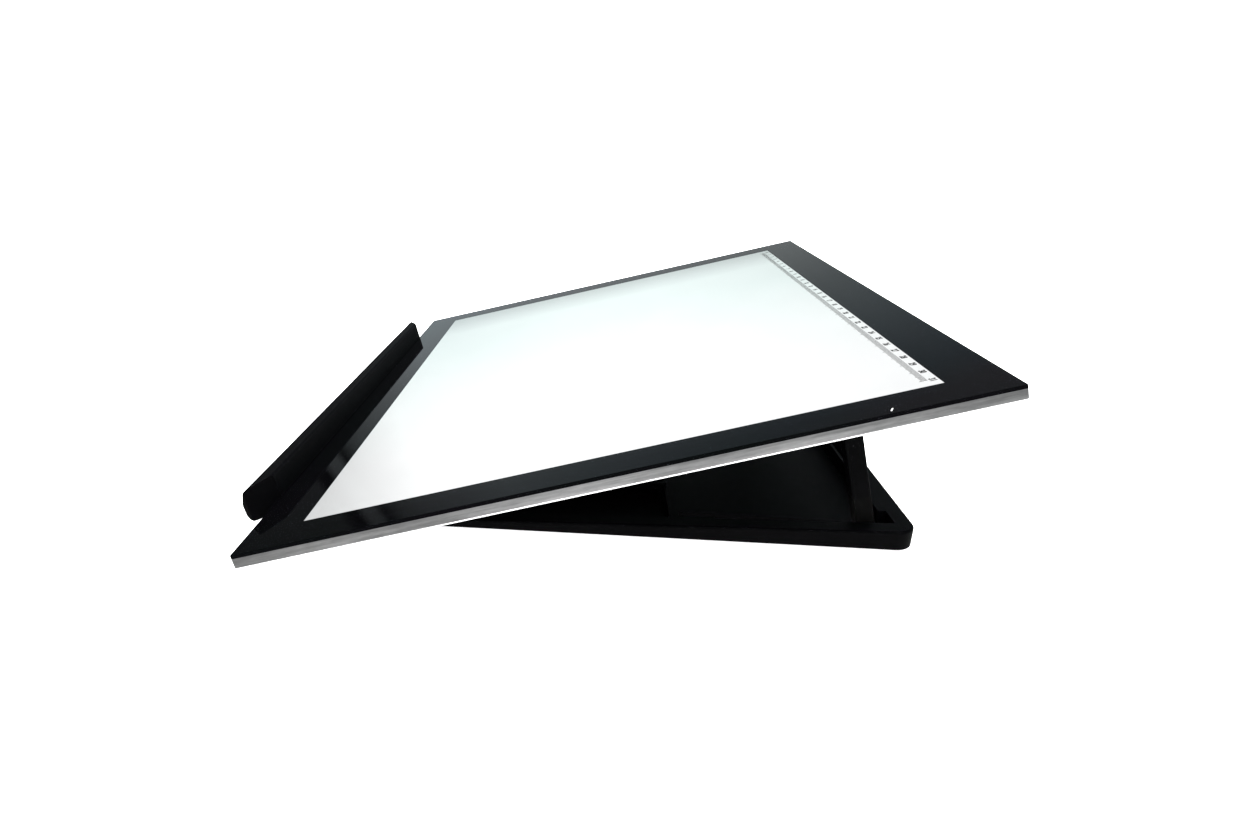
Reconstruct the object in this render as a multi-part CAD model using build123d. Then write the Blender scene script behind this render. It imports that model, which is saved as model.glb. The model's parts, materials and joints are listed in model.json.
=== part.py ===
from build123d import *
import math
import os

# Light box: an A4 edge-lit tracing pad that lies on a folding desk stand.
#
# World frame, millimetres: +Z is up, the table is z = 0, +Y points away from
# the user and +X to the user's right. The origin is under the middle of the
# whole object. The pad, the rest plate and the prop are modelled flat in the
# "deck frame" and then tilted: deck x is world x, deck y runs from the pad's
# front edge to its rear edge, and deck z = 0 is the top of the glass.

# ---------------------------------------------------------------- stand set-up
TILT = 16.7                 # slope of the deck at rest, degrees
DECK_FRONT_Y = -125.09      # world y of the glass's front edge
HINGE_DECK = (4.0, -8.64)   # deck y, z of the front hinge axis
HINGE_Z = 4.1               # height of the front hinge axis over the table

# ---------------------------------------------------------------- tracing pad
PAD_W, PAD_D = 360.0, 270.0
PAD_CORNER = 0.6
GLASS_T = 1.4
GLASS_BEVEL = 0.2
TAPE_T, TAPE_INSET = 0.2, 1.7
FRAME_BOTTOM = -5.0
COVER_T = 0.6
PAD_BOTTOM = FRAME_BOTTOM - COVER_T
WALL = 1.5                  # aluminium edge wall
FLANGE_W, FLANGE_T = 6.0, 0.5
WINDOW_W, WINDOW_D = 323.0, 228.9
WINDOW_FRONT = 20.2         # front edge of the lit window
WINDOW_SHIFT = 1.5          # how far the window's middle stands to the right
SHEET_W = 327.0             # diffuser, film, light guide and reflector
SHEET_FRONT, SHEET_REAR = 17.4, 255.0
DIFFUSER_T, FILM_T, GUIDE_T, REFLECTOR_T = 0.4, 0.2, 2.4, 0.2
LED_COUNT, LED_ROW_MARGIN = 36, 6.0
LED_Y = (15.2, 16.0)
LED_STRIP_Z = (-4.4, -1.8)
LED_CHIP_W, LED_CHIP_DEPTH, LED_CHIP_Z = 3.0, 1.3, (-3.9, -2.7)
LEAD_W, LEAD_Z = 3.0, (-4.4, -4.2)
LEAD_FRONT = 13.8
KEY_ARM, KEY_LEG = 11.0, 4.2
KEY_SHORT_ARM = 2.2         # the arm that stops short of the power socket
SCREW_R, SCREW_HEAD_R, SCREW_HEAD_T, SCREW_TIP = 0.7, 1.5, 0.5, -2.4
SCREW_INSET_X, SCREW_INSET_Y = 2.1, 8.5
CROSS_W, CROSS_L, CROSS_DEPTH = 0.4, 2.2, 0.25
PAD_FOOT_R, PAD_FOOT_T = 5.0, 1.0
PAD_FOOT_X, PAD_FOOT_Y = 164.0, (20.0, 250.0)

# ---------------------------------------------------------------- rest plate
PLATE_W = 289.0
PLATE_TOP, PLATE_T = -6.6, 3.0
PLATE_BOTTOM = PLATE_TOP - PLATE_T
PLATE_REAR = 246.0
PLATE_REAR_CORNER = 12.0
GRIP_TOP, GRIP_SINK = -6.1, 0.6
GRIP_W, GRIP_D = 44.0, 12.0
LIP_GAP = 0.3               # between the lip and the pad's front edge
LIP_TOP = 9.2               # lip height over the glass
LIP_OUTER = -9.4            # deck y of the lip's outermost line
LIP_CORNER = 2.0            # plan radius of the lip's outer corners
LIP_END_CUT = 14.0          # how far the lip's ends slant back towards the pad
PLATE_VENT_X, PLATE_VENT_HALF = 60.0, 34.0
PLATE_VENT_Y, PLATE_VENT_R = (172.0, 186.0), 6.9
PLATE_RIB_X = (-98.0, -74.0, -30.0, 30.0, 74.0, 98.0)
PLATE_RIB_Y = (50.0, 145.0)
PLATE_RIB_T, PLATE_RIB_DEPTH = 2.4, (1.0, 4.4)

# ---------------------------------------------------------------- hinge and prop
PIN_R = 1.0                 # front hinge rod
FIT = 0.06                  # radial running clearance
KNUCKLE_R = 2.4
KNUCKLE_W, KNUCKLE_X = 22.0, (-105.0, -35.0, 35.0, 105.0)
KNUCKLE_ROOM = (3.0, 5.0)   # free space in the plate before and behind each base knuckle
HINGE_END = 124.0           # half the length of the row of knuckles
GAP = 0.4                   # side clearance between knuckles and parts
PROP_AXIS = (226.6, -14.6)  # deck y, z of the prop's pivot
PROP_PIN_R = 1.5
BARREL_R = 3.4
LEG_T, LEG_CORNER = 8.0, 0.8
LEG_IN, LEG_OUT = 110.0, 118.0
LEG_TONGUE_INSET = 2.2      # from the leg's sides to the tongue inside the rubber foot
LEG_TONGUE = 10.0
PANEL_REACH = 30.0
PANEL_FACE = -1.0           # deck y of the panel's ribbed face, from the pivot
PANEL_RIBS, PANEL_RIB_PITCH, PANEL_RIB_T = 9, 22.0, 1.6
PANEL_RIB_TOP, PANEL_EDGE = 1.4, 2.0
FOOT_SOCKET = 46.0          # where the rubber foot starts, from the pivot

# ---------------------------------------------------------------- base tray
BASE_W = 260.0
BASE_BOTTOM = 0.9
BASE_TOP = 9.3
BASE_REAR_Y = DECK_FRONT_Y + 257.0
BASE_FRONT_GAP = 3.0        # from the hinge axis to the tray's front edge
FLOOR_TOP = 2.7
SIDE_RAIL, REAR_RAIL = 8.5, 11.5
REAR_CORNER = 9.5
CORNER_RELIEF = 3.5         # the rear rail is this much narrower near its corners
CORNER_RELIEF_W = 12.0
SLOT_IN, SLOT_OUT = 109.2, 118.8
SLOT_LENGTH = 84.0
RAIL_PAD, RAIL_PAD_L = 1.4, 14.0     # thicker stretch of the side rails by the slots' front ends
TRAY_RIB_X, TRAY_RIB_T = (-86.0, -52.0, 0.0, 52.0, 86.0), 2.0
TRAY_FRONT_BAR = 10.0       # solid stretch behind the tray's front edge
CROSS_BAR_T, CROSS_BAR_TOP = 2.0, 5.5
RIM_ROUND = 1.0

COS = math.cos(math.radians(TILT))
SIN = math.sin(math.radians(TILT))
DECK_FRONT_Z = HINGE_Z - HINGE_DECK[0] * SIN - HINGE_DECK[1] * COS
DECK = Location((0, DECK_FRONT_Y, DECK_FRONT_Z), (TILT, 0, 0))


def deck_to_world(y, z):
    """World y, z of a point given in the deck frame."""
    return DECK_FRONT_Y + y * COS - z * SIN, DECK_FRONT_Z + y * SIN + z * COS


HINGE_Y = deck_to_world(*HINGE_DECK)[0]
PROP_Y, PROP_Z = deck_to_world(*PROP_AXIS)
FOOT_R = LEG_T / 2
FOOT_REACH = (PROP_Z - FOOT_R) / COS         # pivot to the middle of the foot
FOOT_Y = PROP_Y + FOOT_REACH * SIN
SLOT_REAR = FOOT_Y + FOOT_R + 0.4
SLOT_FRONT = SLOT_REAR - SLOT_LENGTH
POCKET_REAR = BASE_REAR_Y - REAR_RAIL


# ---------------------------------------------------------------- helpers
def block(x, y, z):
    """A box from three (low, high) pairs."""
    size = [high - low for low, high in (x, y, z)]
    middle = [(high + low) / 2 for low, high in (x, y, z)]
    return Pos(*middle) * Box(*size)


def sheet(x, y, z, radius):
    """A flat sheet from three (low, high) pairs, with rounded plan corners."""
    outline = Pos((x[0] + x[1]) / 2, (y[0] + y[1]) / 2, z[0])
    return extrude(outline * RectangleRounded(x[1] - x[0], y[1] - y[0], radius), z[1] - z[0])


def rod(radius, x, y, z):
    """A round bar along X from x[0] to x[1]."""
    turned = Location(((x[0] + x[1]) / 2, y, z), (0, 90, 0))
    return turned * Cylinder(radius, x[1] - x[0])


def post(radius, x, y, z):
    """An upright round post from z[0] to z[1]."""
    return Pos(x, y, (z[0] + z[1]) / 2) * Cylinder(radius, z[1] - z[0])


def side_profile(points, x):
    """Extrude a (y, z) outline from x[0] to x[1]."""
    face = Plane.YZ.offset(x[0]) * make_face(Polyline(*points, close=True))
    return extrude(face, x[1] - x[0])


def group(pieces):
    """Separate solids that share one node."""
    return Compound(children=list(pieces))


def save(name, shape, on_deck=True):
    export_step(DECK * shape if on_deck else shape, f"parts/{name}.step")


# ---------------------------------------------------------------- tracing pad
def edge_rail(length):
    """An L-section rail along X, centred, its outer face on y = 0, mitred ends."""
    section = [(0, -GLASS_T), (WALL, -GLASS_T), (WALL, FRAME_BOTTOM + FLANGE_T),
               (FLANGE_W, FRAME_BOTTOM + FLANGE_T), (FLANGE_W, FRAME_BOTTOM), (0, FRAME_BOTTOM)]
    bar = side_profile(section, (-length / 2, length / 2))
    reach = FLANGE_W + 1
    plan = Polyline((-length / 2, 0), (length / 2, 0), (length / 2 - reach, reach),
                    (-length / 2 + reach, reach), close=True)
    mitre = extrude(Pos(0, 0, FRAME_BOTTOM - 1) * make_face(plan), 10)
    return bar & mitre


def rounded_outline():
    """The pad's outline, which rounds the frame's four outer corners."""
    return sheet((-PAD_W / 2, PAD_W / 2), (0, PAD_D), (-10, 5), PAD_CORNER)


def frame_rails():
    outline = rounded_outline()
    long_rail, short_rail = edge_rail(PAD_W), edge_rail(PAD_D)
    middle = PAD_D / 2
    return {
        "rail_front": long_rail & outline,
        "rail_rear": (Location((0, PAD_D, 0), (0, 0, 180)) * long_rail & outline) - jack_cutout(),
        "rail_left": Location((-PAD_W / 2, middle, 0), (0, 0, -90)) * short_rail & outline,
        "rail_right": Location((PAD_W / 2, middle, 0), (0, 0, 90)) * short_rail & outline,
    }


JACK_X, JACK_W, JACK_H, JACK_DEPTH = 169.7, 8.0, 2.6, 5.4
JACK_Z = (-4.4, -4.4 + JACK_H)
JACK_FRONT = PAD_D - 0.2
JACK_WALL, JACK_PLAY = 0.35, 0.15
JACK_TONGUE_W, JACK_TONGUE_L, JACK_TONGUE_Z = 5.2, 3.6, (-3.4, -2.8)


def jack_cutout():
    half = JACK_W / 2 + JACK_PLAY
    return block((JACK_X - half, JACK_X + half), (PAD_D - 3, PAD_D + 1),
                 (JACK_Z[0] - JACK_PLAY, JACK_Z[1] + JACK_PLAY))


def power_jack():
    """A flat power socket: folded metal shell, open to the rear."""
    shell = block((JACK_X - JACK_W / 2, JACK_X + JACK_W / 2),
                  (JACK_FRONT - JACK_DEPTH, JACK_FRONT), JACK_Z)
    half = JACK_W / 2 - JACK_WALL
    mouth = block((JACK_X - half, JACK_X + half), (JACK_FRONT - JACK_DEPTH + JACK_WALL, JACK_FRONT + 1),
                  (JACK_Z[0] + JACK_WALL, JACK_Z[1] - JACK_WALL))
    return shell - mouth


def jack_tongue():
    """The insulator inside the socket, which carries the contacts."""
    back = JACK_FRONT - JACK_DEPTH + JACK_WALL
    across = (JACK_X - JACK_TONGUE_W / 2, JACK_X + JACK_TONGUE_W / 2)
    return block(across, (back, back + JACK_TONGUE_L), JACK_TONGUE_Z)


def front_glass():
    """The black-edged glass, with its top edge ground to a narrow bevel."""
    pane = sheet((-PAD_W / 2, PAD_W / 2), (0, PAD_D), (-GLASS_T, 0), PAD_CORNER)
    return chamfer(pane.faces().sort_by(Axis.Z)[-1].edges(), GLASS_BEVEL)


SHEET_TOP = -GLASS_T - TAPE_T
DIFFUSER_Z = (SHEET_TOP - DIFFUSER_T, SHEET_TOP)
FILM_Z = (DIFFUSER_Z[0] - FILM_T, DIFFUSER_Z[0])
GUIDE_Z = (FILM_Z[0] - GUIDE_T, FILM_Z[0])
REFLECTOR_Z = (GUIDE_Z[0] - REFLECTOR_T, GUIDE_Z[0])


def optical_sheet(z):
    return sheet((-SHEET_W / 2, SHEET_W / 2), (SHEET_FRONT, SHEET_REAR), z, 1.0)


def glass_tape():
    """The adhesive tape ring that holds the glass to the sheets and the rails."""
    z = (SHEET_TOP, -GLASS_T)
    half = PAD_W / 2 - TAPE_INSET
    outer = block((-half, half), (TAPE_INSET, PAD_D - TAPE_INSET), z)
    across = (WINDOW_SHIFT - WINDOW_W / 2, WINDOW_SHIFT + WINDOW_W / 2)
    inner = block(across, (WINDOW_FRONT, WINDOW_FRONT + WINDOW_D), (z[0] - 1, z[1] + 1))
    return outer - inner


def led_strip():
    return block((-SHEET_W / 2, SHEET_W / 2), LED_Y, LED_STRIP_Z)


def led_chips():
    row = SHEET_W - 2 * LED_ROW_MARGIN
    pitch = row / (LED_COUNT - 1)
    chip = block((-LED_CHIP_W / 2, LED_CHIP_W / 2), (LED_Y[1], LED_Y[1] + LED_CHIP_DEPTH), LED_CHIP_Z)
    return group([Pos(pitch * i - row / 2, 0, 0) * chip for i in range(LED_COUNT)])


BOARD_X, BOARD_Y, BOARD_Z = (166.0, 177.0), (190.0, 256.5), (-4.4, -3.6)
TOUCH_X, TOUCH_Y = 172.0, 228.1
ELECTRODE_R, ELECTRODE_T, TOUCH_POST_R = 4.0, 0.3, 1.6


def control_board():
    """The driver board, with a narrow tongue that reaches the power socket."""
    tongue = block((BOARD_X[0], BOARD_X[0] + 7.8), (BOARD_Y[1] - 2, JACK_FRONT - JACK_DEPTH - 0.1), BOARD_Z)
    return sheet(BOARD_X, BOARD_Y, BOARD_Z, 0.8) + tongue


def board_chips():
    """Driver chip, coil, capacitors and resistors on the control board."""
    top = BOARD_Z[1]
    places = [(171.5, 200.0, 5.0, 5.0, 1.0), (171.5, 209.0, 6.0, 6.0, 1.7), (169.0, 216.0, 3.2, 1.6, 1.2),
              (174.0, 216.0, 3.2, 1.6, 1.2), (171.0, 240.0, 4.0, 5.0, 1.0), (169.5, 248.0, 2.0, 1.2, 0.6),
              (173.5, 248.0, 2.0, 1.2, 0.6), (170.0, 258.0, 3.2, 2.5, 1.4)]
    return group([block((x - w / 2, x + w / 2), (y - d / 2, y + d / 2), (top, top + h))
                  for x, y, w, d, h in places])


def flex_lead():
    """The flat lead from the control board to the LED strip."""
    x = (SHEET_W / 2 + 1.0, SHEET_W / 2 + 1.0 + LEAD_W)
    run = block(x, (LEAD_FRONT, BOARD_Y[0] - 0.3), LEAD_Z)
    turn = block((SHEET_W / 2 - 8, x[1]), (LEAD_FRONT - LEAD_W, LEAD_FRONT), LEAD_Z)
    return run + turn


def touch_electrode():
    return post(ELECTRODE_R, TOUCH_X, TOUCH_Y, (SHEET_TOP - ELECTRODE_T, SHEET_TOP))


def touch_spring():
    """The foam post that joins the electrode to the board."""
    return post(TOUCH_POST_R, TOUCH_X, TOUCH_Y, (BOARD_Z[1], SHEET_TOP - ELECTRODE_T))


def corner_keys():
    """An L-shaped key inside each corner of the frame, tapped for a cover screw."""
    z = (FRAME_BOTTOM + FLANGE_T, SHEET_TOP - 0.1)
    keys = []
    for side in (-1, 1):
        for y, away in ((WALL, 1), (PAD_D - WALL, -1)):
            corner = side * (PAD_W / 2 - WALL)
            arm = KEY_SHORT_ARM if side == 1 and away == -1 else KEY_ARM
            along = block(sorted((corner, corner - side * arm)), sorted((y, y + away * KEY_LEG)), z)
            down = block(sorted((corner, corner - side * KEY_LEG)), sorted((y, y + away * KEY_ARM)), z)
            keys.append(along + down - screw_hole(*screw_place(side, away)))
    return group(keys)


def screw_place(side, away):
    inset = WALL + SCREW_INSET_Y
    return side * (PAD_W / 2 - WALL - SCREW_INSET_X), inset if away == 1 else PAD_D - inset


def screw_hole(x, y):
    return post(SCREW_R + 0.03, x, y, (PAD_BOTTOM - 1, SCREW_TIP + 0.2))


def cover_screws():
    screws = []
    for side in (-1, 1):
        for away in (1, -1):
            x, y = screw_place(side, away)
            head = post(SCREW_HEAD_R, x, y, (PAD_BOTTOM, PAD_BOTTOM + SCREW_HEAD_T))
            screw = head + post(SCREW_R, x, y, (PAD_BOTTOM, SCREW_TIP))
            for w, d in ((CROSS_W, CROSS_L), (CROSS_L, CROSS_W)):
                screw -= block((x - w / 2, x + w / 2), (y - d / 2, y + d / 2),
                               (PAD_BOTTOM - 1, PAD_BOTTOM + CROSS_DEPTH))
            screws.append(screw)
    return group(screws)


def with_screw_holes(shape):
    """Cut the clearance holes and head recesses of the cover screws."""
    for side in (-1, 1):
        for away in (1, -1):
            x, y = screw_place(side, away)
            recess = post(SCREW_HEAD_R + 0.05, x, y, (PAD_BOTTOM - 1, PAD_BOTTOM + SCREW_HEAD_T))
            shape = shape - screw_hole(x, y) - recess
    return shape


def back_cover():
    inset = 0.25
    plate = sheet((-PAD_W / 2 + inset, PAD_W / 2 - inset), (inset, PAD_D - inset),
                  (PAD_BOTTOM, FRAME_BOTTOM), PAD_CORNER - inset)
    return with_screw_holes(plate)


def pad_feet():
    """Four thin rubber feet for using the pad without its stand."""
    return group([post(PAD_FOOT_R, x, y, (PAD_BOTTOM - PAD_FOOT_T, PAD_BOTTOM))
                  for x in (-PAD_FOOT_X, PAD_FOOT_X) for y in PAD_FOOT_Y])


def save_pad():
    save("front_glass", front_glass())
    save("glass_tape", glass_tape())
    save("diffuser_sheet", optical_sheet(DIFFUSER_Z))
    save("prism_film", optical_sheet(FILM_Z))
    save("light_guide", optical_sheet(GUIDE_Z))
    save("reflector_sheet", optical_sheet(REFLECTOR_Z))
    save("led_strip", led_strip())
    save("led_chips", led_chips())
    save("flex_lead", flex_lead())
    save("control_board", control_board())
    save("board_chips", board_chips())
    save("touch_electrode", touch_electrode())
    save("touch_spring", touch_spring())
    save("power_jack", power_jack())
    save("jack_tongue", jack_tongue())
    save("corner_keys", corner_keys())
    save("cover_screws", cover_screws())
    save("back_cover", back_cover())
    save("pad_feet", pad_feet())
    for name, rail in frame_rails().items():
        save(name, with_screw_holes(rail))


# ---------------------------------------------------------------- rest plate
def lip():
    """The front lip that the pad leans on, with a rounded, undercut outer side."""
    bulge, heel = (LIP_OUTER, 3.0), (-4.8, -4.0)
    front = FilletPolyline((-LIP_GAP, PLATE_BOTTOM), (-LIP_GAP, LIP_TOP), (-6.9, LIP_TOP), bulge, radius=1.2)
    under = ThreePointArc(bulge, (-8.5, -1.6), heel)
    close = Polyline(heel, (-1.6, PLATE_BOTTOM + 1.0), (-LIP_GAP, PLATE_BOTTOM))
    face = Plane.YZ.offset(-PLATE_W / 2) * make_face(front + under + close)
    return extrude(face, PLATE_W) & lip_outline()


def lip_outline():
    """A block with the lip's plan: both ends slant back from the outer corners."""
    outer = LIP_OUTER - 0.2
    half = PLATE_W / 2
    slant_start = outer + 2.6
    plan = Polyline((-half, outer), (half, outer), (half, slant_start), (half - LIP_END_CUT, 0),
                    (LIP_END_CUT - half, 0), (-half, slant_start), close=True)
    blank = extrude(Pos(0, 0, PLATE_BOTTOM - 1) * make_face(plan), LIP_TOP - PLATE_BOTTOM + 2)
    return fillet(blank.edges().filter_by(Axis.Z).group_by(Axis.Y)[0], LIP_CORNER)


def knuckle_spans():
    """X spans of the front hinge's base tongues; the plate holds the rod between them."""
    return [(centre - KNUCKLE_W / 2, centre + KNUCKLE_W / 2) for centre in KNUCKLE_X]


def plate_ribs():
    """Tapered stiffening ribs under the plate, shallow enough to fold onto the tray."""
    front, rear = PLATE_RIB_Y
    outline = [(front, PLATE_BOTTOM), (front, PLATE_BOTTOM - PLATE_RIB_DEPTH[0]),
               (rear, PLATE_BOTTOM - PLATE_RIB_DEPTH[1]), (rear, PLATE_BOTTOM)]
    return [side_profile(outline, (x - PLATE_RIB_T / 2, x + PLATE_RIB_T / 2)) for x in PLATE_RIB_X]


LUG_SPANS = [(-121.0, -118.4), (-42.0, -36.0), (36.0, 42.0), (118.4, 121.0)]
LUG_R = 3.7


def prop_lugs():
    """Lugs under the plate that carry the prop's rod."""
    y, z = PROP_AXIS
    lugs = []
    for x in LUG_SPANS:
        web = side_profile([(y - LUG_R, z), (y + LUG_R, z), (y + LUG_R + 3, PLATE_BOTTOM),
                            (y - LUG_R - 3, PLATE_BOTTOM)], x)
        lugs.append(web + rod(LUG_R, x, y, z) - rod(PROP_PIN_R, (x[0] - 1, x[1] + 1), y, z))
    return lugs


def rest_plate():
    plate = block((-PLATE_W / 2, PLATE_W / 2), (-LIP_GAP, PLATE_REAR), (PLATE_BOTTOM, PLATE_TOP))
    rear_corners = plate.edges().filter_by(Axis.Z).group_by(Axis.Y)[-1]
    plate = fillet(rear_corners, PLATE_REAR_CORNER) + lip()
    y, z = HINGE_DECK
    for x in knuckle_spans():
        plate -= block((x[0] - GAP, x[1] + GAP), (y - KNUCKLE_ROOM[0], y + KNUCKLE_ROOM[1]),
                       (-20, PLATE_TOP + 1))
    edges = [-HINGE_END] + [edge for span in knuckle_spans() for edge in span] + [HINGE_END]
    for start, end in zip(edges[::2], edges[1::2]):
        plate += rod(KNUCKLE_R, (start + GAP, end - GAP), y, z)
    plate -= rod(PIN_R + FIT, (-HINGE_END - 1, HINGE_END + 1), y, z)
    for x in (-PLATE_VENT_X, PLATE_VENT_X):
        plate -= sheet((x - PLATE_VENT_HALF, x + PLATE_VENT_HALF), PLATE_VENT_Y,
                       (PLATE_BOTTOM - 1, PLATE_TOP + 1), PLATE_VENT_R)
    for piece in plate_ribs() + prop_lugs():
        plate += piece
    for x, y in GRIP_PLACES:
        plate -= grip_pad(x, y)
    return plate


GRIP_PLACES = [(x, y) for x in (-100.0, 100.0) for y in (30.0, 212.0)]


def grip_pad(x, y):
    """A soft pad let into the plate's top face."""
    return sheet((x - GRIP_W / 2, x + GRIP_W / 2), (y - GRIP_D / 2, y + GRIP_D / 2),
                 (PLATE_TOP - GRIP_SINK, GRIP_TOP), GRIP_D / 2 - 0.1)


def prop_rod():
    ends = (LUG_SPANS[0][0], LUG_SPANS[-1][1])
    return rod(PROP_PIN_R, ends, *PROP_AXIS)


def save_rest_plate():
    save("rest_plate", rest_plate())
    save("grip_pads", group([grip_pad(x, y) for x, y in GRIP_PLACES]))
    save("prop_rod", prop_rod())


# ---------------------------------------------------------------- prop
def leg_tongue(x):
    """The stub at a leg's lower end that the rubber foot is pushed over."""
    y, z = PROP_AXIS
    reach = z - FOOT_SOCKET
    across = (x[0] + LEG_TONGUE_INSET, x[1] - LEG_TONGUE_INSET)
    return block(across, (y - LEG_T / 4, y + LEG_T / 4), (reach - LEG_TONGUE, reach))


def prop_frame():
    """Two legs joined by a ribbed panel, hung on the rod by a barrel."""
    y, z = PROP_AXIS
    bodies = []
    for side in (-1, 1):
        x = sorted((side * LEG_IN, side * LEG_OUT))
        leg = block(x, (y - LEG_T / 2, y + LEG_T / 2), (z - FOOT_SOCKET, z))
        leg = fillet(leg.edges().filter_by(Axis.Z), LEG_CORNER)
        bodies += [leg, rod(LEG_T / 2, x, y, z), leg_tongue(x)]
    face = y + PANEL_FACE
    rib_top = y + PANEL_RIB_TOP
    bodies.append(block((-LEG_IN, LEG_IN), (y - LEG_T / 2, face), (z - PANEL_REACH, z)))
    bodies.append(rod(BARREL_R, (-LEG_IN, LEG_IN), y, z))
    for i in range(PANEL_RIBS):
        x = PANEL_RIB_PITCH * (i - (PANEL_RIBS - 1) / 2)
        across = (x - PANEL_RIB_T / 2, x + PANEL_RIB_T / 2)
        bodies.append(block(across, (face, rib_top), (z - PANEL_REACH, z)))
    bodies.append(block((-LEG_IN, LEG_IN), (face, rib_top), (z - PANEL_REACH, z - PANEL_REACH + PANEL_EDGE)))
    frame = bodies[0]
    for piece in bodies[1:]:
        frame += piece
    for x in LUG_SPANS[1:3]:
        frame -= block((x[0] - GAP, x[1] + GAP), (y - 10, y + 10), (z - 6.4, z + 10))
    return frame - rod(PROP_PIN_R + FIT, (-LEG_OUT - 1, LEG_OUT + 1), y, z)


def prop_feet():
    """Rubber feet pushed over the legs' tongues, with round soles."""
    y, z = PROP_AXIS
    feet = []
    for side in (-1, 1):
        x = sorted((side * LEG_IN, side * LEG_OUT))
        body = block(x, (y - FOOT_R, y + FOOT_R), (z - FOOT_REACH, z - FOOT_SOCKET))
        body = fillet(body.edges().filter_by(Axis.Z), LEG_CORNER)
        feet.append(body + rod(FOOT_R, x, y, z - FOOT_REACH) - leg_tongue(x))
    return group(feet)


def save_prop():
    save("prop_frame", prop_frame())
    save("prop_feet", prop_feet())


# ---------------------------------------------------------------- base tray
def wedge_top(y):
    """Height of the tray's rails, which rise from the hinge to the rear."""
    start = HINGE_Y + BASE_FRONT_GAP
    low = FLOOR_TOP - 0.2
    return low + (BASE_TOP - low) * (y - start) / (BASE_REAR_Y - start)


def wedge(x, front, rear):
    """A stretch of the tray that is as high as its rails."""
    return side_profile([(front, BASE_BOTTOM), (front, wedge_top(front)), (rear, wedge_top(rear)),
                         (rear, BASE_BOTTOM)], x)


BASE_FEET = [(x, y) for x in (-118.0, 118.0) for y in (HINGE_Y + 16.0, BASE_REAR_Y - 6.0)]
BASE_FOOT_R, BASE_FOOT_SINK = 3.6, 0.5


def base_tray():
    front = HINGE_Y + BASE_FRONT_GAP
    body = wedge((-BASE_W / 2, BASE_W / 2), front, BASE_REAR_Y)
    body = fillet(body.edges().filter_by(Axis.Z).group_by(Axis.Y)[-1], REAR_CORNER)
    top = body.faces().sort_by(Axis.Z)[-1].edges()
    body = fillet(top.filter_by(lambda edge: edge.center().Y > front + 1), RIM_ROUND)
    inner = BASE_W / 2 - SIDE_RAIL
    cross_bar = SLOT_FRONT - 4
    body -= block((-inner, inner), (front + TRAY_FRONT_BAR, POCKET_REAR), (FLOOR_TOP, 30))
    for side in (-1, 1):
        relief = sorted((side * (inner - CORNER_RELIEF_W), side * inner))
        body -= block(relief, (POCKET_REAR - 1, POCKET_REAR + CORNER_RELIEF), (FLOOR_TOP, 30))
        slot = sorted((side * SLOT_IN, side * SLOT_OUT))
        body -= block(slot, (SLOT_FRONT, SLOT_REAR), (0, FLOOR_TOP + 1))
        pad = sorted((side * (inner - RAIL_PAD), side * inner))
        body += wedge(pad, cross_bar, SLOT_FRONT + RAIL_PAD_L)
    for x in TRAY_RIB_X:
        body += wedge((x - TRAY_RIB_T / 2, x + TRAY_RIB_T / 2), front + TRAY_FRONT_BAR - 0.5, cross_bar)
    body += block((-inner, inner), (cross_bar - CROSS_BAR_T / 2, cross_bar + CROSS_BAR_T / 2),
                  (FLOOR_TOP, CROSS_BAR_TOP))
    for span in knuckle_spans():
        body += block(span, (HINGE_Y, HINGE_Y + 4.3), (BASE_BOTTOM, HINGE_Z))
        body += rod(KNUCKLE_R, span, HINGE_Y, HINGE_Z)
        body -= rod(PIN_R + FIT, (span[0] - 1, span[1] + 1), HINGE_Y, HINGE_Z)
    for x, y in BASE_FEET:
        body -= post(BASE_FOOT_R, x, y, (0, BASE_BOTTOM + BASE_FOOT_SINK))
    return body


def base_feet():
    return group([post(BASE_FOOT_R, x, y, (0, BASE_BOTTOM + BASE_FOOT_SINK)) for x, y in BASE_FEET])


def hinge_rod():
    return rod(PIN_R, (-HINGE_END + 0.6, HINGE_END - 0.6), HINGE_Y, HINGE_Z)


def save_base():
    save("base_tray", base_tray(), on_deck=False)
    save("base_feet", base_feet(), on_deck=False)
    save("hinge_rod", hinge_rod(), on_deck=False)


os.makedirs("parts", exist_ok=True)
save_pad()
save_rest_plate()
save_prop()
save_base()
print(f"hinge axis y {HINGE_Y:.3f} z {HINGE_Z:.3f}")
print(f"prop axis y {PROP_Y:.3f} z {PROP_Z:.3f}, foot y {FOOT_Y:.3f}, slot {SLOT_FRONT:.2f} {SLOT_REAR:.2f}")
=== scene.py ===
import json
import math

import bmesh
import bpy
from mathutils import Matrix, Quaternion, Vector


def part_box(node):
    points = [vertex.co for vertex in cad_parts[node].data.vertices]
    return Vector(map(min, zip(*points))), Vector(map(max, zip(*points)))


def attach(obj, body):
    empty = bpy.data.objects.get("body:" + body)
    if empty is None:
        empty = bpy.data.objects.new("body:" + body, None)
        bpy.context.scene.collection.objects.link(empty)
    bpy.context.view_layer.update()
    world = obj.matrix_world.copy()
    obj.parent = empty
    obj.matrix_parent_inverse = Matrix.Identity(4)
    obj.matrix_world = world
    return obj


# Looks for the light box: the CAD frame is dressed with node materials, and the
# prints on its glass are added as thin pieces. Lengths are in metres, and MM
# turns the object's own millimetres into them.

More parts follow.
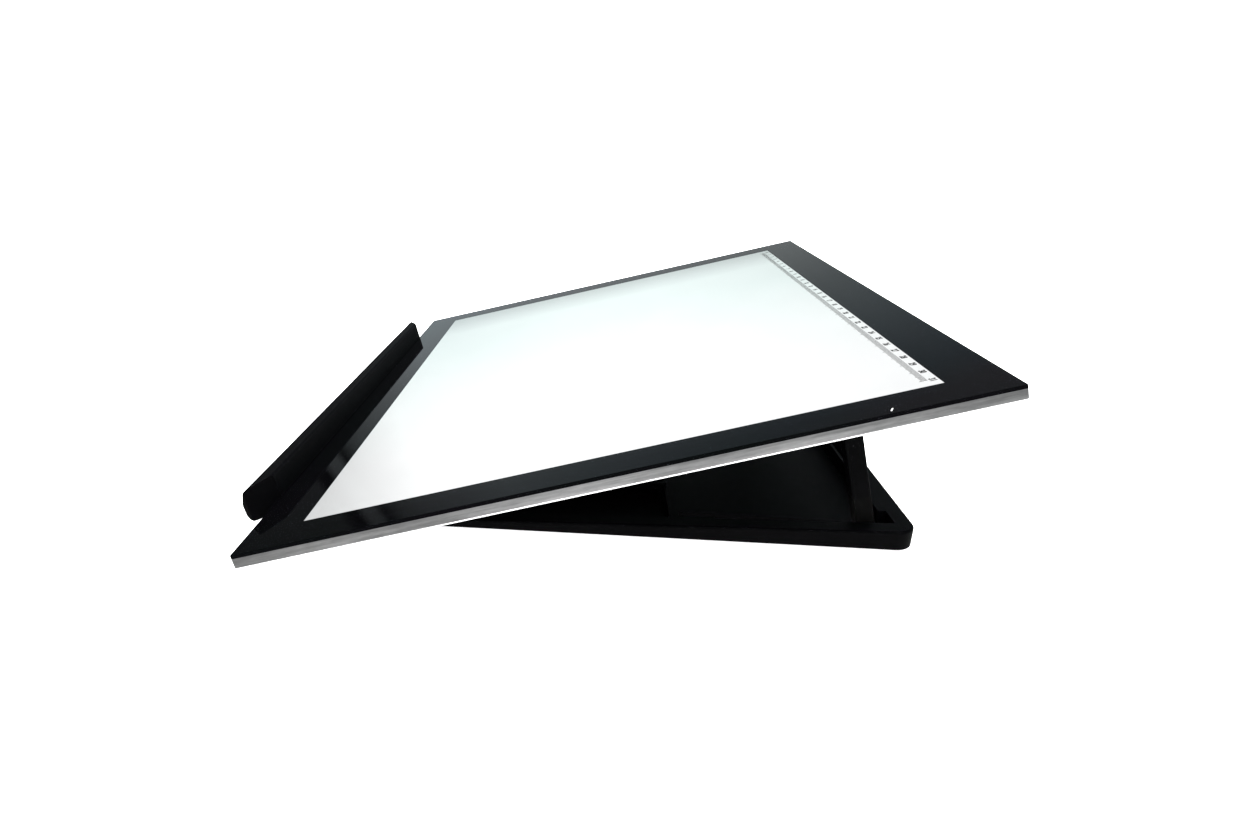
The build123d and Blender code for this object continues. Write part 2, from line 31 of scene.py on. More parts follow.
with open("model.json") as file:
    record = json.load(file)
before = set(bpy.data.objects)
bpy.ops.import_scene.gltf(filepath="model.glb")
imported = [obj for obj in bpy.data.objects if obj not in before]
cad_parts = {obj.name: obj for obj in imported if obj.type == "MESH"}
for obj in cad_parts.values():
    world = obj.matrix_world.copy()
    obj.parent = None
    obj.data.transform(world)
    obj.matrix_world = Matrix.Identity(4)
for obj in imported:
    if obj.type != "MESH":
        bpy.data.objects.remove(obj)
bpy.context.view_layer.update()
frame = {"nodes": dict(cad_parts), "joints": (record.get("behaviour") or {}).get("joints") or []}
MM = 0.001

# ---------------------------------------------------------------- deck frame
# The pad lies on a slope. Its deck frame has x to the right of the pad's middle,
# y up the slope from the glass's front edge, and z out of the glass's top face.
JOINTS = {joint["name"]: joint for joint in frame["joints"]}
DECK_NORMAL = Vector(JOINTS["pad_lift"]["axis"]).normalized()
DECK_ALONG = Vector((0, DECK_NORMAL.z, -DECK_NORMAL.y))
DECK_TILT = math.atan2(-DECK_NORMAL.y, DECK_NORMAL.z)
GLASS_POINTS = [vertex.co for vertex in frame["nodes"]["front_glass"].data.vertices]
DECK_ORIGIN = (DECK_ALONG * min(point.dot(DECK_ALONG) for point in GLASS_POINTS)
               + DECK_NORMAL * max(point.dot(DECK_NORMAL) for point in GLASS_POINTS))
DECK_MATRIX = Matrix.Translation(DECK_ORIGIN) @ Matrix.Rotation(DECK_TILT, 4, "X")

# ---------------------------------------------------------------- prints, in mm
WINDOW_HALF_W, WINDOW_HALF_D = 161.5, 114.45
WINDOW_MIDDLE = (1.5, 134.65)
RULER_ZERO_X = -152.8
RULER_LENGTH = 310
RULER_TOP_Y = 245.4
TICK_WIDTH = 0.44
TICK_LENGTHS = (2.2, 2.5, 2.9)         # at each millimetre, half centimetre and centimetre
NUMBER_Y = 247.05
NUMBER_SHIFT = 0.5           # the numbers stand a little right of their ticks
NUMBER_SIZE = 3.2
NUMBER_WEIGHT = 0.17         # how much each number's outline is thickened
PRINT_HEIGHT = 0.012
POWER_MARK = (176.7, 226.4)
POWER_MARK_LENGTH, POWER_MARK_WIDTH, POWER_MARK_TURN = 2.4, 0.42, -31.0

# ---------------------------------------------------------------- finish zones and painted shade, in deck mm
WINDOW_EDGE = (-0.08, 0.08)            # where the print's edge gives way to the window
GROUND_EDGE_Z = (-0.16, -0.04)         # over its bevel the glass turns dull, as it is down its edge
LEFT_FADE_WIDTH = 50                   # the window's left stretch that dims towards its edge
DRIFT_RIGHT_X = 60                     # the window brightens slowly as far as here
END_FADE_Y = 30                        # from the window's middle, where its ends start to dim
CORNER_FADE = (20, 135)                # a slanted distance from the window's right front corner
COOL_X = (-60, 120)                    # the window turns from cool to white along here
RAIL_SHADE = 0.56                      # the aluminium's usual brightness
RAIL_PAINTED_SHADE_Z = (-4.8, -1.6)            # painted shade: the rails are lighter at their foot than at their top
RAIL_PAINTED_SHEEN_Y = 140                    # painted sheen: the rails are brightest here
RAIL_PAINTED_SHEEN_FADE = (20, 135)             # and the painted sheen dims over this distance from there
COVER_PAINTED_SHADE_Z = (-5.58, -5.5)            # the cover is painted grey below this as shade, and white above it
GUIDE_DOTS_Y = (17, 255)               # the light guide's dots grow along here
LED_COUNT, LED_WIDTH = 36, 3.0
LED_FACE_Z, LED_FACE_HALF = -3.3, (1.1, 0.4)    # the phosphor's middle, and half its width and height

NOISE_RANGE = (0.3, 0.7)               # nearly all of a noise's values lie in here

# ---------------------------------------------------------------- camera
CAMERA_AT = Vector((0.4319, -0.0088, 0.1564))
CAMERA_AZIMUTH, CAMERA_ELEVATION, CAMERA_ROLL = 86.66, 19.25, 4.58
CAMERA_LENS = 23.70


def make_camera():
    """The camera: azimuth 0 looks along +Y, and 90 looks from the right."""
    azimuth, elevation = math.radians(CAMERA_AZIMUTH), math.radians(CAMERA_ELEVATION)
    look = Vector((-math.sin(azimuth) * math.cos(elevation),
                   math.cos(azimuth) * math.cos(elevation),
                   -math.sin(elevation)))
    data = bpy.data.cameras.new("camera")
    data.lens = CAMERA_LENS
    data.clip_start, data.clip_end = 0.01, 50
    camera = bpy.data.objects.new("camera", data)
    camera.rotation_mode = "QUATERNION"
    camera.location = CAMERA_AT
    roll = Quaternion((0, 0, 1), math.radians(CAMERA_ROLL))
    camera.rotation_quaternion = look.to_track_quat("-Z", "Y") @ roll
    bpy.context.scene.collection.objects.link(camera)
    bpy.context.scene.camera = camera


# ---------------------------------------------------------------- node helpers
class Nodes:
    """A node tree, with short calls for common nodes."""

    def __init__(self, node_tree):
        self.nodes = node_tree.nodes
        self.links = node_tree.links
        self.nodes.clear()

    def node(self, kind, values=None, **settings):
        """Adds a node. values go on its input sockets: a socket is linked, anything else is set."""
        made = self.nodes.new(kind)
        for key, value in settings.items():
            setattr(made, key, value)
        for key, value in (values or {}).items():
            self.put(made.inputs[key], value)
        return made

    def put(self, socket, value):
        if isinstance(value, bpy.types.NodeSocket):
            self.links.new(value, socket)
        else:
            socket.default_value = value

    def calc(self, operation, first, second=0.0, third=0.0):
        values = {0: first, 1: second, 2: third}
        return self.node("ShaderNodeMath", values, operation=operation).outputs[0]

    def split(self, vector):
        return self.node("ShaderNodeSeparateXYZ", {0: vector}).outputs

    def span(self, value, low, high, new_low, new_high):
        """Maps low..high to new_low..new_high, clamped."""
        values = {"Value": value, "From Min": low, "From Max": high, "To Min": new_low, "To Max": new_high}
        return self.node("ShaderNodeMapRange", values).outputs[0]

    def blend(self, factor, first, second, how="MIX"):
        """Mixes two colours, or with how="MULTIPLY" darkens the first by the second."""
        values = {0: factor, 6: first, 7: second}
        return self.node("ShaderNodeMix", values, data_type="RGBA", blend_type=how).outputs[2]

    def ramp(self, value, stops):
        """A colour ramp from (place, colour) pairs."""
        made = self.node("ShaderNodeValToRGB", {0: value})
        elements = made.color_ramp.elements
        while len(elements) < len(stops):
            elements.new(0.5)
        for element, (at, colour) in zip(elements, stops):
            element.position = at
            element.color = (*colour, 1)
        return made.outputs[0]


class Tree(Nodes):
    """A material's node tree round one Principled shader."""

    def __init__(self, name):
        self.material = bpy.data.materials.new(name)
        self.material.use_nodes = True
        super().__init__(self.material.node_tree)
        self.shader = self.node("ShaderNodeBsdfPrincipled")
        self.node("ShaderNodeOutputMaterial", {"Surface": self.shader.outputs[0]})

    def set(self, **values):
        """Sets or links the Principled shader's sockets, such as base_color or roughness."""
        for key, value in values.items():
            self.put(self.shader.inputs[key.replace("_", " ").title().replace("Ior", "IOR")], value)

    def position(self):
        """The point's place in the whole object's frame at rest, in metres."""
        return self.node("ShaderNodeTexCoord").outputs["Object"]

    def deck_position(self):
        """The point's place in the deck frame, in millimetres."""
        place = (Matrix.Rotation(-DECK_TILT, 3, "X") @ DECK_ORIGIN) * (-1 / MM)
        values = {"Vector": self.position(), "Location": place,
                  "Rotation": (-DECK_TILT, 0, 0), "Scale": (1 / MM,) * 3}
        return self.node("ShaderNodeMapping", values).outputs[0]

    def stretched(self, vector, scale):
        return self.node("ShaderNodeMapping", {"Vector": vector, "Scale": scale}).outputs[0]

    def noise(self, vector, scale, detail=3.0, roughness=0.55):
        values = {"Vector": vector, "Scale": scale, "Detail": detail, "Roughness": roughness}
        return self.node("ShaderNodeTexNoise", values).outputs[0]

    def spread(self, noise, low, high):
        """Spreads a noise over low..high."""
        return self.span(noise, *NOISE_RANGE, low, high)

    def mottled(self, noise, first, second):
        """A colour that drifts between two with a noise."""
        return self.blend(self.spread(noise, 0.0, 1.0), first, second)

    def bump(self, height, depth, strength=1.0):
        values = {"Height": height, "Distance": depth, "Strength": strength}
        self.set(normal=self.node("ShaderNodeBump", values).outputs[0])

    def box_distance(self, x, y, middle, half):
        """Distance outside a flat rectangle, negative inside it."""
        across = self.calc("SUBTRACT", self.calc("ABSOLUTE", self.calc("SUBTRACT", x, middle[0])), half[0])
        along = self.calc("SUBTRACT", self.calc("ABSOLUTE", self.calc("SUBTRACT", y, middle[1])), half[1])
        return self.calc("MAXIMUM", across, along)


def grey(value):
    return (value, value, value, 1)


# ---------------------------------------------------------------- materials
def bezel_glass():
    """Glass with a black print on its back and a clear window, which shows the lit panel."""
    tree = Tree("bezel_glass")
    deck = tree.deck_position()
    x, y, z = tree.split(deck)
    outside = tree.box_distance(x, y, WINDOW_MIDDLE, (WINDOW_HALF_W, WINDOW_HALF_D))
    window = tree.span(outside, *WINDOW_EDGE, 1.0, 0.0)
    patches = tree.noise(tree.stretched(deck, (0.012, 0.02, 0.02)), 1.0, 2.0)
    ink = tree.mottled(patches, (0.0008, 0.0012, 0.0012, 1), (0.0012, 0.001, 0.0015, 1))
    lamp, glow = panel_light(tree, deck, x, y)
    tree.set(base_color=tree.blend(window, ink, (0.05, 0.055, 0.055, 1)), emission_color=lamp,
             emission_strength=tree.calc("MULTIPLY", window, glow), ior=1.5,
             specular_ior_level=tree.span(z, *GROUND_EDGE_Z, 0.03, 0.5),
             roughness=tree.spread(tree.noise(deck, 0.06, 3.0), 0.012, 0.026))
    return tree.material


def panel_light(tree, deck, x, y):
    """Colour and strength of the lit window.

    It is dimmer and cooler to the left, and dimmer at both ends and in the right front corner.
    """
    left, right = WINDOW_MIDDLE[0] - WINDOW_HALF_W, WINDOW_MIDDLE[0] + WINDOW_HALF_W
    front = WINDOW_MIDDLE[1] - WINDOW_HALF_D
    drift = tree.span(x, left + LEFT_FADE_WIDTH, DRIFT_RIGHT_X, 0.775, 0.95)
    fade_left = tree.span(x, left, left + LEFT_FADE_WIDTH, 0.58, 1.0)
    along = tree.calc("ABSOLUTE", tree.calc("SUBTRACT", y, WINDOW_MIDDLE[1]))
    fade_ends = tree.span(along, END_FADE_Y, WINDOW_HALF_D, 1.0, 0.85)
    from_corner = tree.calc("ADD", tree.calc("SUBTRACT", right, x),
                            tree.calc("MULTIPLY", tree.calc("SUBTRACT", y, front), 3.0))
    fade_corner = tree.span(from_corner, *CORNER_FADE, 0.68, 1.0)
    patches = tree.spread(tree.noise(tree.stretched(deck, (0.02, 0.03, 0.03)), 1.0, 2.0), 0.985, 1.015)
    fibre = tree.spread(tree.noise(deck, 0.9, 4.0, 0.7), 0.985, 1.015)
    level = drift
    for factor in (fade_left, fade_ends, fade_corner, patches, fibre):
        level = tree.calc("MULTIPLY", level, factor)
    colour = tree.blend(tree.span(x, *COOL_X, 0.0, 1.0), (0.88, 0.99, 0.965, 1), grey(1.0))
    return colour, level


def along_rail(along, across, lengthwise):
    """A texture's scale on each axis: across it all, but lengthwise on the rail's own axis."""
    scale = list(across)
    scale[along] = lengthwise
    return scale


def brushed_aluminium(name, along):
    """Satin anodised aluminium, with fine drawing lines along the rail and faint mottling; a painted sheen
    brightens it part way along and painted shade darkens its top.
    """
    tree = Tree(name)
    deck = tree.deck_position()
    _, y, z = tree.split(deck)
    lines = tree.noise(tree.stretched(deck, along_rail(along, (6.0, 6.0, 6.0), 0.05)), 1.0, 4.0, 0.6)
    mottle = tree.noise(tree.stretched(deck, along_rail(along, (0.14, 0.14, 0.5), 0.022)), 1.0, 3.0, 0.6)
    blotch = tree.noise(tree.stretched(deck, along_rail(along, (0.3, 0.3, 0.6), 0.16)), 1.0, 3.0, 0.65)
    from_painted_sheen = tree.calc("ABSOLUTE", tree.calc("SUBTRACT", y, RAIL_PAINTED_SHEEN_Y))
    shade = tree.spread(mottle, RAIL_SHADE * 0.72, RAIL_SHADE * 1.25)
    # The last two factors are painted light: shade that darkens the rail towards its top, and a sheen that
    # brightens it part way along.
    for factor in (tree.spread(blotch, 0.86, 1.12), tree.spread(lines, 0.9, 1.08),
                   tree.span(z, *RAIL_PAINTED_SHADE_Z, 1.12, 0.84),
                   tree.span(from_painted_sheen, *RAIL_PAINTED_SHEEN_FADE, 1.1, 0.68)):
        shade = tree.calc("MULTIPLY", shade, factor)
    colour = tree.node("ShaderNodeCombineColor", {0: shade, 1: shade, 2: shade}).outputs[0]
    tree.set(base_color=colour, metallic=1.0, roughness=tree.spread(mottle, 0.42, 0.32))
    tree.bump(lines, 0.02 * MM, 0.5)
    return tree.material


def moulded_black(name, seed=0.0):
    """Injection-moulded black plastic with a fine spark-eroded texture; seed varies its flow marks."""
    tree = Tree(name)
    grain = tree.noise(tree.position(), 2600, 3.0, 0.6)
    flow = tree.noise(tree.stretched(tree.position(), (6, 14, 20)), 1.0 + seed, 3.0)
    tint = tree.mottled(flow, (0.0006, 0.0006, 0.0009, 1), (0.0013, 0.0013, 0.0017, 1))
    tree.set(base_color=tint, roughness=tree.spread(grain, 0.42, 0.56), specular_ior_level=0.05)
    tree.bump(grain, 0.06 * MM, 0.5)
    return tree.material


def soft_rubber():
    """Matt black rubber with a fine grain."""
    tree = Tree("soft_rubber")
    grain = tree.noise(tree.position(), 3500, 4.0, 0.7)
    tint = tree.blend(tree.span(grain, 0.35, 0.65, 0.0, 1.0), grey(0.0012), grey(0.003))
    tree.set(base_color=tint, roughness=tree.spread(grain, 0.75, 0.92), specular_ior_level=0.08)
    tree.bump(grain, 0.08 * MM, 0.6)
    return tree.material


def white_cover():
    """Fine-textured plastic, white on its rim, with painted shade in pale grey underneath."""
    tree = Tree("white_cover")
    grain = tree.noise(tree.position(), 1800, 3.0, 0.6)
    cloud = tree.spread(tree.noise(tree.position(), 18, 3.0), 0.0, 1.0)
    _, _, z = tree.split(tree.deck_position())
    rim = tree.span(z, *COVER_PAINTED_SHADE_Z, 0.0, 1.0)
    # The pale grey underneath is painted shade; above the rim line the cover keeps its white.
    painted_shade_under = tree.blend(cloud, (0.19, 0.195, 0.20, 1), (0.23, 0.235, 0.24, 1))
    white = tree.blend(cloud, (0.80, 0.81, 0.81, 1), (0.86, 0.86, 0.85, 1))
    tree.set(base_color=tree.blend(rim, painted_shade_under, white), roughness=tree.spread(grain, 0.42, 0.58))
    tree.bump(grain, 0.05 * MM, 0.5)
    return tree.material


def drawn_steel():
    """Round steel wire, drawn along x."""
    tree = Tree("drawn_steel")
    lines = tree.noise(tree.stretched(tree.position(), (40, 5000, 5000)), 1.0, 3.0)
    tint = tree.mottled(lines, (0.42, 0.42, 0.43, 1), (0.6, 0.6, 0.61, 1))
    tree.set(base_color=tint, metallic=1.0, roughness=tree.spread(lines, 0.25, 0.4))
    tree.bump(lines, 0.01 * MM, 0.4)
    return tree.material


def plated_steel():
    """Bright plated steel with a faint cloudiness."""
    tree = Tree("plated_steel")
    cloud = tree.noise(tree.position(), 900, 3.0)
    tint = tree.mottled(cloud, (0.55, 0.55, 0.54, 1), (0.68, 0.68, 0.67, 1))
    tree.set(base_color=tint, metallic=1.0, roughness=tree.spread(cloud, 0.22, 0.36))
    return tree.material


def diffuser():
    """Opal film with a faint fibre."""
    tree = Tree("diffuser")
    fibre = tree.noise(tree.deck_position(), 1.6, 4.0, 0.7)
    tint = tree.mottled(fibre, (0.86, 0.89, 0.88, 1), (0.94, 0.95, 0.95, 1))
    tree.set(base_color=tint, roughness=tree.spread(fibre, 0.5, 0.65))
    return tree.material


def prism_film():
    """Brightness film with fine prisms across it."""
    tree = Tree("prism_film")
    values = {"Vector": tree.deck_position(), "Scale": 1.0, "Distortion": 0.0}
    prisms = tree.node("ShaderNodeTexWave", values, bands_direction="Y").outputs["Fac"]
    tint = tree.blend(prisms, (0.74, 0.78, 0.80, 1), (0.88, 0.91, 0.92, 1))
    tree.set(base_color=tint, roughness=tree.span(prisms, 0.0, 1.0, 0.15, 0.3))
    tree.bump(prisms, 0.05 * MM, 0.6)
    return tree.material


def light_guide():
    """Clear acrylic with printed dots that grow away from the lamps."""
    tree = Tree("light_guide")
    deck = tree.deck_position()
    _, y, _ = tree.split(deck)
    values = {"Vector": deck, "Scale": 0.55, "Randomness": 0.1}
    dots = tree.node("ShaderNodeTexVoronoi", values).outputs["Distance"]
    size = tree.span(y, *GUIDE_DOTS_Y, 0.2, 0.42)
    inside = tree.calc("LESS_THAN", dots, size)
    tint = tree.blend(inside, (0.66, 0.76, 0.74, 1), (0.93, 0.94, 0.94, 1))
    tree.set(base_color=tint, roughness=tree.span(inside, 0.0, 1.0, 0.06, 0.55))
    return tree.material


def reflector():
    """White reflecting film."""
    tree = Tree("reflector")
    cloud = tree.noise(tree.deck_position(), 0.08, 3.0)
    tint = tree.mottled(cloud, grey(0.86), grey(0.93))
    tree.set(base_color=tint, roughness=tree.spread(cloud, 0.22, 0.34))
    return tree.material


def circuit_board():
    """Green solder resist over copper tracks."""
    tree = Tree("circuit_board")
    values = {"Vector": tree.deck_position(), "Scale": 0.5, "Mortar Size": 0.1, "Brick Width": 3.2,
              "Row Height": 0.9, "Color1": (0.012, 0.10, 0.045, 1), "Color2": (0.015, 0.13, 0.055, 1),
              "Mortar": (0.05, 0.24, 0.10, 1)}
    tracks = tree.node("ShaderNodeTexBrick", values).outputs
    tree.set(base_color=tracks["Color"], roughness=tree.span(tracks["Fac"], 0.0, 1.0, 0.28, 0.4))
    tree.bump(tracks["Fac"], 0.03 * MM, 0.6)
    return tree.material


def led_package():
    """White lamp packages with a yellow phosphor window on the side that faces the guide."""
    tree = Tree("led_package")
    low, high = (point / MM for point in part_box("led_chips"))
    pitch = (high.x - low.x - LED_WIDTH) / (LED_COUNT - 1)
    x, _, z = tree.split(tree.deck_position())
    step = tree.calc("DIVIDE", tree.calc("SUBTRACT", x, low.x + LED_WIDTH / 2 - pitch / 2), pitch)
    offset = tree.calc("MULTIPLY", tree.calc("SUBTRACT", tree.calc("FRACT", step), 0.5), pitch)
    outside = tree.box_distance(offset, z, (0, LED_FACE_Z), LED_FACE_HALF)
    window = tree.span(outside, -0.05, 0.05, 1.0, 0.0)
    tree.set(base_color=tree.blend(window, (0.85, 0.85, 0.83, 1), (0.92, 0.72, 0.12, 1)),
             roughness=tree.span(window, 0.0, 1.0, 0.5, 0.2))
    return tree.material


def flex_film():
    """Amber film with copper strands along it."""
    tree = Tree("flex_film")
    values = {"Vector": tree.deck_position(), "Scale": 1.1}
    strands = tree.node("ShaderNodeTexWave", values, bands_direction="X").outputs["Fac"]
    tint = tree.blend(strands, (0.34, 0.13, 0.02, 1), (0.72, 0.36, 0.10, 1))
    tree.set(base_color=tint, roughness=tree.span(strands, 0.0, 1.0, 0.35, 0.22))
    return tree.material


def speckled(name, dark, light, scale, roughness, metallic=0.0, depth=0.03):
    """A small part's material: two close shades in a fine grain."""
    tree = Tree(name)
    grain = tree.noise(tree.position(), scale, 4.0, 0.65)
    tree.set(base_color=tree.mottled(grain, dark, light), metallic=metallic,
             roughness=tree.spread(grain, roughness - 0.06, roughness + 0.06))
    tree.bump(grain, depth * MM, 0.5)
    return tree.material


def printed_ink():
    """Dark ink on the lit window."""
    return speckled("printed_ink", grey(0.01), grey(0.03), 6000, 0.5, depth=0.002)


def white_mark():
    """The small white mark over the touch key, lit from below."""
    tree = Tree("white_mark")
    grain = tree.noise(tree.position(), 4000, 3.0)
    tint = tree.mottled(grain, grey(0.82), grey(0.9))
    tree.set(base_color=tint, roughness=0.4, emission_color=(0.95, 0.98, 1.0, 1), emission_strength=0.6)
    return tree.material


def dress(nodes, material):
    """Gives CAD nodes a material in place of their imported one."""
    for name in nodes:
        for slot in frame["nodes"][name].material_slots:
            slot.material = material


def dress_frame():
    dress(["front_glass"], bezel_glass())
    dress(["rail_front", "rail_rear"], brushed_aluminium("aluminium_across", 0))
    dress(["rail_left", "rail_right"], brushed_aluminium("aluminium_along", 1))
    dress(["back_cover"], white_cover())
    dress(["base_tray"], moulded_black("tray_plastic"))
    dress(["rest_plate"], moulded_black("plate_plastic", 0.3))
    dress(["prop_frame"], moulded_black("prop_plastic", 0.6))
    dress(["base_feet", "prop_feet", "pad_feet", "grip_pads"], soft_rubber())
    dress(["hinge_rod", "prop_rod"], drawn_steel())
    dress(["power_jack", "cover_screws"], plated_steel())
    dress(["diffuser_sheet"], diffuser())
    dress(["prism_film"], prism_film())
    dress(["light_guide"], light_guide())
    dress(["reflector_sheet"], reflector())
    dress(["led_strip", "control_board"], circuit_board())
    dress(["led_chips"], led_package())
    dress(["flex_lead"], flex_film())
    dress(["glass_tape"], speckled("black_tape", grey(0.012), grey(0.022), 900, 0.7))
    dress(["board_chips", "jack_tongue"], speckled("chip_epoxy", grey(0.018), grey(0.035), 5000, 0.55))
    dress(["touch_electrode"], speckled("copper", (0.62, 0.30, 0.17, 1), (0.78, 0.42, 0.27, 1), 1500, 0.32,
                                        metallic=1.0))
    dress(["touch_spring"], speckled("foam", grey(0.02), grey(0.05), 3000, 0.9, depth=0.2))
    dress(["corner_keys"], speckled("nylon", grey(0.62), grey(0.74), 700, 0.55))


# ---------------------------------------------------------------- printed pieces
def finished_mesh(name, bm):
    """Turns a bmesh into a named mesh, and frees it."""
    mesh = bpy.data.meshes.new(name)
    bm.to_mesh(mesh)
    bm.free()
    return mesh


def add_piece(name, mesh, material):
    """Adds a piece that rides on the pad."""
    piece = bpy.data.objects.new(name, mesh)
    bpy.context.scene.collection.objects.link(piece)
    piece.data.materials.append(material)
    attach(piece, "pad")


def printed_bar(bm, x, y):
    """A thin raised bar on the glass from two (low, high) pairs, in deck millimetres."""
    middle = Vector(((x[0] + x[1]) / 2, (y[0] + y[1]) / 2, PRINT_HEIGHT / 2)) * MM
    size = Vector((x[1] - x[0], y[1] - y[0], PRINT_HEIGHT)) * MM
    place = DECK_MATRIX @ Matrix.Translation(middle) @ Matrix.Diagonal((*size, 1))
    bmesh.ops.create_cube(bm, size=1, matrix=place)


def ruler_ticks(ink):
    """The ruler's millimetre ticks, longer at each half and whole centimetre."""
    bm = bmesh.new()
    for i in range(RULER_LENGTH + 1):
        rank = 2 if i % 10 == 0 else 1 if i % 5 == 0 else 0
        x = RULER_ZERO_X + i
        across = (x - TICK_WIDTH / 2, x + TICK_WIDTH / 2)
        printed_bar(bm, across, (RULER_TOP_Y - TICK_LENGTHS[rank], RULER_TOP_Y))
    add_piece("ruler_ticks", finished_mesh("ruler_ticks", bm), ink)


def text_mesh(text, size):
    """A flat text's mesh, centred on its own origin, from the built-in font."""
    curve = bpy.data.curves.new("number", "FONT")
    curve.body = text
    curve.size = size
    curve.align_x = curve.align_y = "CENTER"
    curve.extrude = PRINT_HEIGHT * MM / 2
    curve.offset = NUMBER_WEIGHT * MM
    curve.resolution_u = 4
    holder = bpy.data.objects.new("number", curve)
    bpy.context.scene.collection.objects.link(holder)
    mesh = bpy.data.meshes.new_from_object(holder)
    bpy.data.objects.remove(holder)
    bpy.data.curves.remove(curve)
    return mesh


def ruler_numbers(ink):
    """The centimetre numbers beside the ticks."""
    bm = bmesh.new()
    for i in range(RULER_LENGTH // 10 + 1):
        mesh = text_mesh(str(i), NUMBER_SIZE * MM)
        place = Vector((RULER_ZERO_X + 10 * i + NUMBER_SHIFT, NUMBER_Y, PRINT_HEIGHT / 2)) * MM
        mesh.transform(DECK_MATRIX @ Matrix.Translation(place))
        bm.from_mesh(mesh)
        bpy.data.meshes.remove(mesh)
    bmesh.ops.remove_doubles(bm, verts=bm.verts, dist=1e-7)
    add_piece("ruler_numbers", finished_mesh("ruler_numbers", bm), ink)


def power_mark():
    """A short slanted stroke with round ends, over the touch key."""
    half, radius, steps = (POWER_MARK_LENGTH - POWER_MARK_WIDTH) / 2, POWER_MARK_WIDTH / 2, 10
    outline = [(side * half + radius * math.cos(angle), radius * math.sin(angle))
               for side, start in ((1, -math.pi / 2), (-1, math.pi / 2))
               for angle in (start + math.pi * i / steps for i in range(steps + 1))]
    bm = bmesh.new()
    face = bm.faces.new([bm.verts.new((x * MM, y * MM, 0)) for x, y in outline])
    top = bmesh.ops.extrude_face_region(bm, geom=[face])["geom"]
    raised = [item for item in top if isinstance(item, bmesh.types.BMVert)]
    bmesh.ops.translate(bm, verts=raised, vec=(0, 0, PRINT_HEIGHT * MM))
    bmesh.ops.recalc_face_normals(bm, faces=bm.faces)
    place = Matrix.Translation(Vector((*POWER_MARK, 0)) * MM)
    bm.transform(DECK_MATRIX @ place @ Matrix.Rotation(math.radians(POWER_MARK_TURN), 4, "Z"))
    add_piece("power_mark", finished_mesh("power_mark", bm), white_mark())


# ---------------------------------------------------------------- studio
FLOOR_GAP = 0.0002          # the floor is this far below the feet, so that the faces don't fight


def make_floor():
    """A pale floor that sweeps up into a backdrop on every side."""
    flat, rise, wall_top, segments, around = 3.0, 1.2, 4.0, 12, 96
    bm = bmesh.new()
    profile = [(0.0, 0.0), (flat, 0.0)]
    profile += [(flat + rise * math.sin(a), rise * (1 - math.cos(a)))
                for a in (math.pi / 2 * i / segments for i in range(1, segments + 1))]
    profile.append((flat + rise, wall_top))
    verts = [bm.verts.new((x, 0, z)) for x, z in profile]
    edges = [bm.edges.new(pair) for pair in zip(verts, verts[1:])]
    bmesh.ops.spin(bm, geom=verts + edges, cent=(0, 0, 0), axis=(0, 0, 1), angle=math.tau, steps=around,
                   use_merge=True, use_normal_flip=False)
    bmesh.ops.remove_doubles(bm, verts=bm.verts, dist=1e-6)
    bmesh.ops.recalc_face_normals(bm, faces=bm.faces)
    mesh = finished_mesh("floor", bm)
    mesh.shade_smooth()
    floor = bpy.data.objects.new("floor", mesh)
    bpy.context.scene.collection.objects.link(floor)
    floor.location.z = -FLOOR_GAP
    floor.visible_glossy = False
    tree = Tree("floor_paint")
    cloud = tree.noise(tree.position(), 6.0, 3.0)
    tree.set(base_color=tree.blend(cloud, grey(0.9), grey(0.92)), roughness=0.9, specular_ior_level=0.0,
             emission_color=grey(1.0), emission_strength=0.85)
    mesh.materials.append(tree.material)


# Brightness of the room by height: each place is half of the direction's z, plus a half.
ROOM_HEIGHTS = [(0.0, (0.55, 0.55, 0.55)), (0.44, (0.75, 0.75, 0.75)), (0.50, (0.5, 0.54, 0.55)),
                (0.545, (0.42, 0.49, 0.52)), (0.565, (0.38, 0.42, 0.44)), (0.61, (0.30, 0.33, 0.335)),
                (0.635, (0.22, 0.25, 0.26)), (0.67, (0.145, 0.175, 0.19)), (0.70, (0.085, 0.105, 0.12)),
                (0.715, (0.08, 0.083, 0.09)), (0.8, (0.07, 0.07, 0.08)), (1.0, (0.12, 0.12, 0.12))]
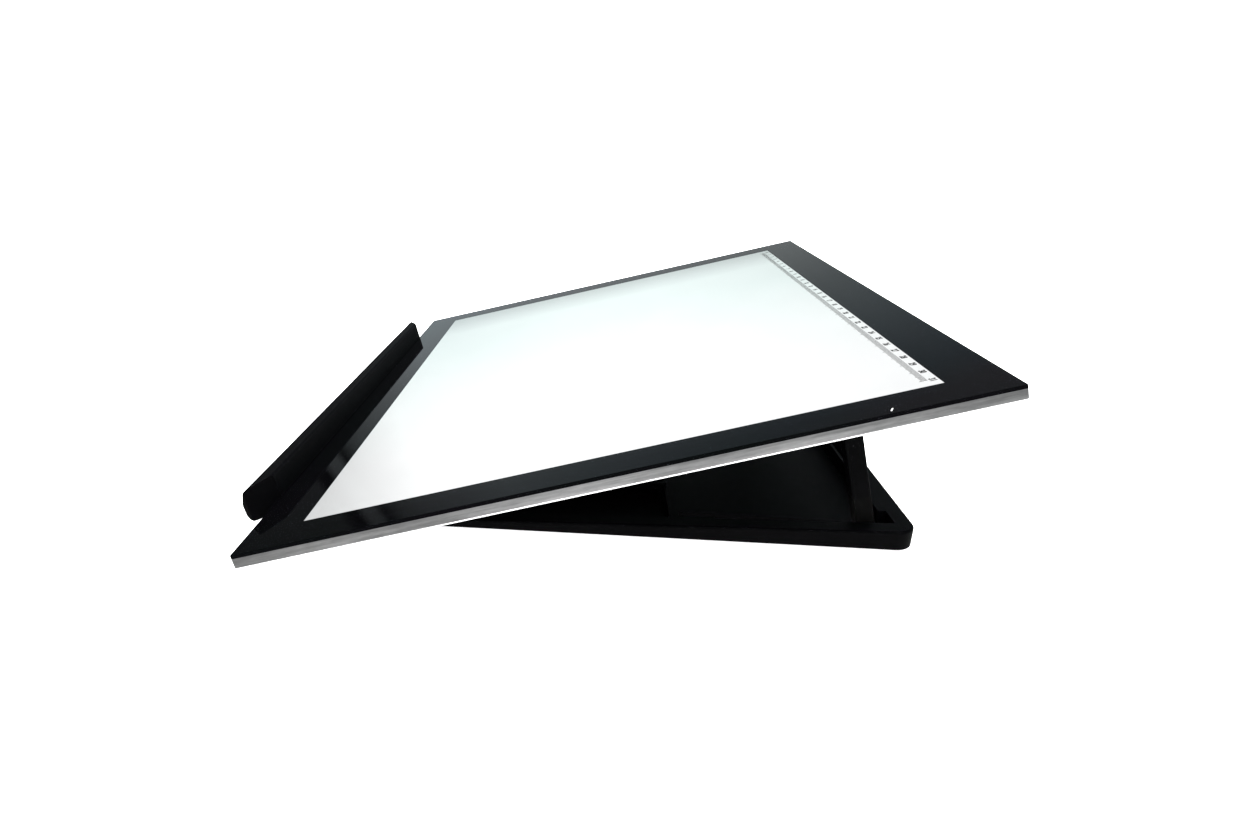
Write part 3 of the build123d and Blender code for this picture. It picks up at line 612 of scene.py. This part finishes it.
# Brightness of the room round about: each place is half of how far the direction
# points to the front, plus a half. One bright post stands in a dark gap.
ROOM_SIDES = [(0.0, 1.0), (0.655, 1.0), (0.68, 0.66), (0.697, 0.48), (0.712, 0.27), (0.7185, 0.03),
              (0.7213, 0.0), (0.7222, 0.32), (0.7284, 0.29), (0.7296, 0.01), (0.7345, 0.02), (0.7375, 0.11),
              (0.79, 0.07), (0.9, 0.3), (1.0, 0.5)]
HORIZON = (-0.02, 0.02)      # the sides' brightness fades in over this much of the direction's z
LIGHTS_AIM = Vector((0, 0, 0))


def make_world():
    """A soft room for the reflections: bright at the horizon, dim overhead, darker to the front."""
    world = bpy.data.worlds.new("studio")
    world.use_nodes = True
    tree = Nodes(world.node_tree)
    x, y, z = tree.split(tree.node("ShaderNodeTexCoord").outputs["Generated"])
    level = tree.calc("SQRT", tree.calc("MULTIPLY_ADD", x, x, tree.calc("MULTIPLY", y, y)))
    to_front = tree.calc("MULTIPLY_ADD", tree.calc("DIVIDE", y, level), -0.5, 0.5)
    heights = tree.ramp(tree.calc("MULTIPLY_ADD", z, 0.5, 0.5), ROOM_HEIGHTS)
    sides = tree.ramp(to_front, [(at, (value,) * 3) for at, value in ROOM_SIDES])
    shade = tree.blend(tree.span(z, *HORIZON, 0.0, 1.0), heights, sides, "MULTIPLY")
    background = tree.node("ShaderNodeBackground", {"Color": shade})
    tree.node("ShaderNodeOutputWorld", {"Surface": background.outputs[0]})
    bpy.context.scene.world = world


def area_light(name, place, size, power):
    """A rectangular lamp that lights the object, but that its glossy faces don't mirror."""
    data = bpy.data.lights.new(name, "AREA")
    data.shape = "RECTANGLE"
    data.size, data.size_y = size
    data.energy = power
    lamp = bpy.data.objects.new(name, data)
    lamp.location = place
    lamp.rotation_mode = "QUATERNION"
    lamp.rotation_quaternion = (LIGHTS_AIM - Vector(place)).to_track_quat("-Z", "Y")
    lamp.visible_glossy = False
    bpy.context.scene.collection.objects.link(lamp)


def make_lights():
    """Soft light from overhead and from both sides."""
    area_light("overhead", (0, 0, 2.4), (3.6, 3.6), 150)
    area_light("side_fill", (2.2, -0.6, 1.4), (2.0, 1.4), 26)
    area_light("back_fill", (-2.2, 0.8, 1.4), (2.0, 1.4), 26)


make_camera()
dress_frame()
ink = printed_ink()
ruler_ticks(ink)
ruler_numbers(ink)
power_mark()
make_floor()
make_world()
make_lights()
bpy.context.scene.view_settings.view_transform = "Standard"
bpy.context.scene.view_settings.look = "None"
